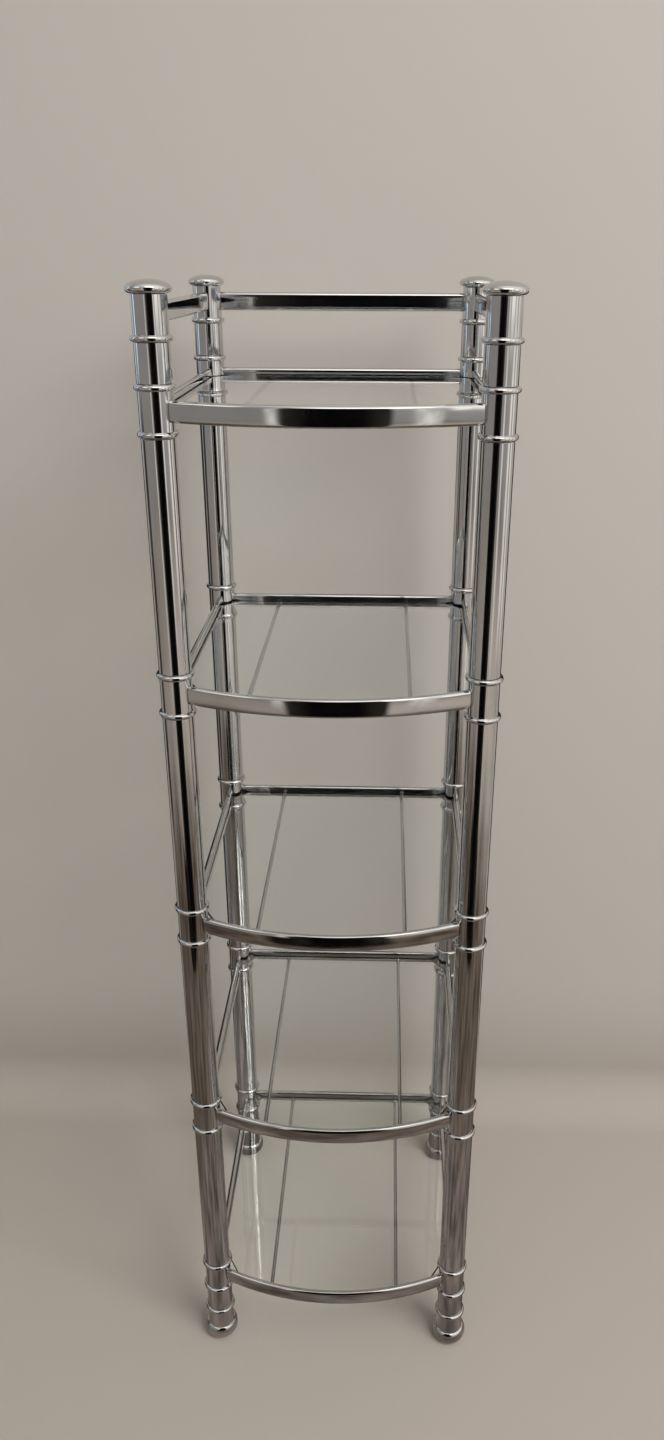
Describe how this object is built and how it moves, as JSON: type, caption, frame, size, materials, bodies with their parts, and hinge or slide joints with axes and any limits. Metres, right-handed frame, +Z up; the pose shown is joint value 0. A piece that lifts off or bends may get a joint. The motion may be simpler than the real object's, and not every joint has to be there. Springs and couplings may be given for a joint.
{
  "type": "glass shelving unit",
  "caption": "Tall free-standing shelving tower: chrome posts with beaded collars carry bow-fronted welded frames, each with a loose clear glass pane, and a low rail rings the top.",
  "frame": {"origin": "on the floor, in the middle of the tower's footprint, front bow included", "axes": "+Z up, -Y to the bowed front, +X to the right as seen from the front"},
  "size_m": [0.3246, 0.3472, 1.2205],
  "materials": {
    "chrome": "mirror-bright chrome plate on steel tube",
    "glass": "clear float glass with ground, polished edges and a slight green tint",
    "zinc": "zinc-plated threaded steel"
  },
  "bodies": {
    "tower": {"shelf_frame_top": "chrome", "shelf_frame_second": "chrome", "shelf_frame_third": "chrome", "shelf_frame_fourth": "chrome", "shelf_frame_bottom": "chrome", "gallery_rail": "chrome", "post_tube_above_second_front_left": "chrome", "post_tube_above_second_front_right": "chrome", "post_tube_above_second_rear_left": "chrome", "post_tube_above_second_rear_right": "chrome", "post_tube_above_third_front_left": "chrome", "post_tube_above_third_front_right": "chrome", "post_tube_above_third_rear_left": "chrome", "post_tube_above_third_rear_right": "chrome", "post_tube_above_fourth_front_left": "chrome", "post_tube_above_fourth_front_right": "chrome", "post_tube_above_fourth_rear_left": "chrome", "post_tube_above_fourth_rear_right": "chrome", "post_tube_above_bottom_front_left": "chrome", "post_tube_above_bottom_front_right": "chrome", "post_tube_above_bottom_rear_left": "chrome", "post_tube_above_bottom_rear_right": "chrome", "neck_tube_top_front_left": "chrome", "neck_tube_top_front_right": "chrome", "neck_tube_top_rear_left": "chrome", "neck_tube_top_rear_right": "chrome", "neck_tube_bottom_front_left": "chrome", "neck_tube_bottom_front_right": "chrome", "neck_tube_bottom_rear_left": "chrome", "neck_tube_bottom_rear_right": "chrome", "foot_front_left": "chrome", "foot_front_right": "chrome", "foot_rear_left": "chrome", "foot_rear_right": "chrome", "cap_front_left": "chrome", "cap_front_right": "chrome", "cap_rear_left": "chrome", "cap_rear_right": "chrome", "stud_top_front_left": "zinc", "stud_top_front_right": "zinc", "stud_top_rear_left": "zinc", "stud_top_rear_right": "zinc", "stud_second_front_left": "zinc", "stud_second_front_right": "zinc", "stud_second_rear_left": "zinc", "stud_second_rear_right": "zinc", "stud_third_front_left": "zinc", "stud_third_front_right": "zinc", "stud_third_rear_left": "zinc", "stud_third_rear_right": "zinc", "stud_fourth_front_left": "zinc", "stud_fourth_front_right": "zinc", "stud_fourth_rear_left": "zinc", "stud_fourth_rear_right": "zinc"},
    "pane_top": {"glass_pane_top": "glass"},
    "pane_second": {"glass_pane_second": "glass"},
    "pane_third": {"glass_pane_third": "glass"},
    "pane_fourth": {"glass_pane_fourth": "glass"},
    "pane_bottom": {"glass_pane_bottom": "glass"}
  },
  "joints": [
    {"name": "pane_top_lift", "type": "slide", "parent": "tower", "child": "pane_top", "axis": [0, 0, 1], "range_m": [0, 0.24]},
    {"name": "pane_second_lift", "type": "slide", "parent": "tower", "child": "pane_second", "axis": [0, 0, 1], "range_m": [0, 0.24]},
    {"name": "pane_third_lift", "type": "slide", "parent": "tower", "child": "pane_third", "axis": [0, 0, 1], "range_m": [0, 0.24]},
    {"name": "pane_fourth_lift", "type": "slide", "parent": "tower", "child": "pane_fourth", "axis": [0, 0, 1], "range_m": [0, 0.24]},
    {"name": "pane_bottom_lift", "type": "slide", "parent": "tower", "child": "pane_bottom", "axis": [0, 0, 1], "range_m": [0, 0.24]}
  ]
}
